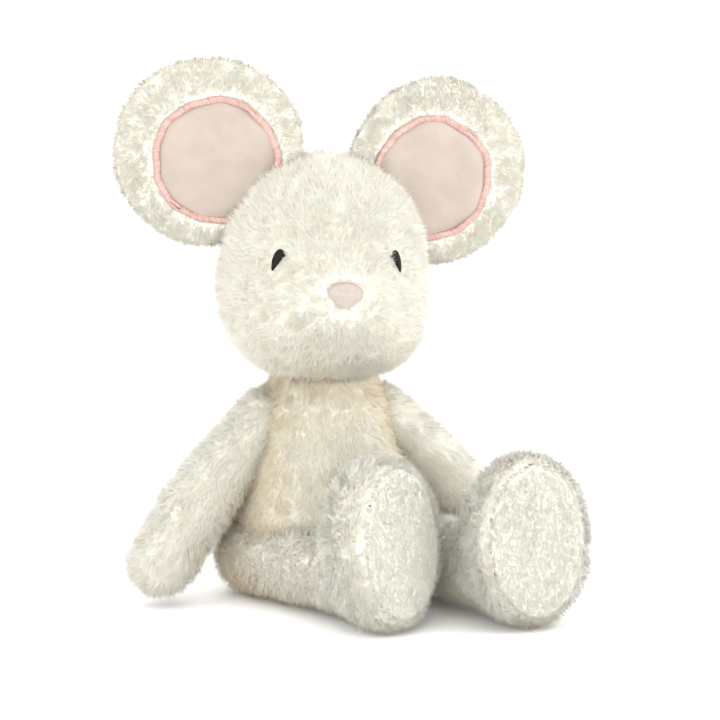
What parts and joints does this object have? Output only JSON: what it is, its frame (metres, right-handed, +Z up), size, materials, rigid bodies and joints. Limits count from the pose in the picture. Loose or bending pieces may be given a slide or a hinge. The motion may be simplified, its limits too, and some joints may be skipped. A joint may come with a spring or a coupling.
{
  "type": "seated plush mouse",
  "caption": "Seated stuffed mouse in cream fur fabric with large round pink-lined ears, floppy arms and legs, stitched eyes and nose, and upright oval feet.",
  "frame": {"origin": "centre of the seat panel on the underside of the torso", "axes": "+Z up, -Y the way the torso faces, +X the mouse's left"},
  "size_m": [0.2, 0.2013, 0.2513],
  "materials": {
    "fur_fabric": "long soft pile",
    "short_pile_cream": "short pile",
    "velboa_pink": "brushed velboa",
    "satin_thread_rose": "satin stitch",
    "thread_black": "satin stitch",
    "thread_pink": "embroidered",
    "polyester_wadding": "loose fibre",
    "bag_cloth": "plain weave",
    "pellets": "matte",
    "woven_label": "satin ribbon"
  },
  "bodies": {
    "torso": {"torso_front_panel": "fur_fabric", "torso_back_panel": "fur_fabric", "seat_panel": "fur_fabric", "torso_stuffing": "polyester_wadding", "pellet_bag": "bag_cloth", "pellets": "pellets", "care_label": "woven_label"},
    "neck": {"neck_wad": "polyester_wadding"},
    "head": {"head_left_panel": "fur_fabric", "head_right_panel": "fur_fabric", "head_gusset": "fur_fabric", "head_stuffing": "polyester_wadding", "left_eye": "thread_black", "right_eye": "thread_black", "nose": "thread_pink"},
    "tail": {"tail_cover": "short_pile_cream", "tail_stuffing": "polyester_wadding"},
    "left_ear": {"left_ear_back": "fur_fabric", "left_ear_front": "fur_fabric", "left_ear_wadding": "polyester_wadding", "left_ear_lining": "velboa_pink", "left_ear_ring": "satin_thread_rose"},
    "left_shoulder": {"left_shoulder_wad": "polyester_wadding"},
    "left_arm": {"left_arm_outer_panel": "fur_fabric", "left_arm_inner_panel": "fur_fabric", "left_arm_stuffing": "polyester_wadding"},
    "left_hip": {"left_hip_wad": "polyester_wadding"},
    "left_leg": {"left_leg_outer_panel": "fur_fabric", "left_leg_inner_panel": "fur_fabric", "left_leg_stuffing": "polyester_wadding", "left_sole": "short_pile_cream"},
    "right_ear": {"right_ear_back": "fur_fabric", "right_ear_front": "fur_fabric", "right_ear_wadding": "polyester_wadding", "right_ear_lining": "velboa_pink", "right_ear_ring": "satin_thread_rose"},
    "right_shoulder": {"right_shoulder_wad": "polyester_wadding"},
    "right_arm": {"right_arm_outer_panel": "fur_fabric", "right_arm_inner_panel": "fur_fabric", "right_arm_stuffing": "polyester_wadding"},
    "right_hip": {"right_hip_wad": "polyester_wadding"},
    "right_leg": {"right_leg_outer_panel": "fur_fabric", "right_leg_inner_panel": "fur_fabric", "right_leg_stuffing": "polyester_wadding", "right_sole": "short_pile_cream"}
  },
  "joints": [
    {"name": "neck_turn", "type": "hinge", "parent": "torso", "child": "neck", "pos_m": [0, -0.014, 0.103], "axis": [0, 0, 1], "range_deg": [-40, 40]},
    {"name": "head_nod", "type": "hinge", "parent": "neck", "child": "head", "pos_m": [0, -0.014, 0.103], "axis": [1, 0, 0], "range_deg": [-12, 12]},
    {"name": "left_ear_fold", "type": "hinge", "parent": "head", "child": "left_ear", "pos_m": [0.04027, -0.01232, 0.18461], "axis": [-0.6128, -0.0877, 0.7854], "range_deg": [-15, 15]},
    {"name": "left_arm_swing", "type": "hinge", "parent": "torso", "child": "left_shoulder", "pos_m": [0.029, -0.014, 0.084], "axis": [1, 0, 0], "range_deg": [-5, 60]},
    {"name": "left_arm_raise", "type": "hinge", "parent": "left_shoulder", "child": "left_arm", "pos_m": [0.029, -0.014, 0.084], "axis": [0, 1, 0], "range_deg": [-60, 0]},
    {"name": "left_leg_splay", "type": "hinge", "parent": "torso", "child": "left_hip", "pos_m": [0.033, -0.016, 0.019], "axis": [0, 0, 1], "range_deg": [-4, 2]},
    {"name": "left_leg_lift", "type": "hinge", "parent": "left_hip", "child": "left_leg", "pos_m": [0.033, -0.016, 0.019], "axis": [-1, 0, 0], "range_deg": [-45, 5]},
    {"name": "right_ear_fold", "type": "hinge", "parent": "head", "child": "right_ear", "pos_m": [-0.03539, -0.00955, 0.19012], "axis": [-0.7065, 0.15, -0.6916], "range_deg": [-15, 15]},
    {"name": "right_arm_swing", "type": "hinge", "parent": "torso", "child": "right_shoulder", "pos_m": [-0.029, -0.014, 0.084], "axis": [1, 0, 0], "range_deg": [-80, 60]},
    {"name": "right_arm_raise", "type": "hinge", "parent": "right_shoulder", "child": "right_arm", "pos_m": [-0.029, -0.014, 0.084], "axis": [0, 1, 0], "range_deg": [0, 60]},
    {"name": "right_leg_splay", "type": "hinge", "parent": "torso", "child": "right_hip", "pos_m": [-0.033, -0.016, 0.019], "axis": [0, 0, 1], "range_deg": [-45, 0]},
    {"name": "right_leg_lift", "type": "hinge", "parent": "right_hip", "child": "right_leg", "pos_m": [-0.033, -0.016, 0.019], "axis": [-1, 0, 0], "range_deg": [-45, 5]},
    {"name": "tail_swing", "type": "hinge", "parent": "torso", "child": "tail", "pos_m": [0, 0.0285, 0.013], "axis": [0, 0, 1], "range_deg": [-15, 15]}
  ]
}
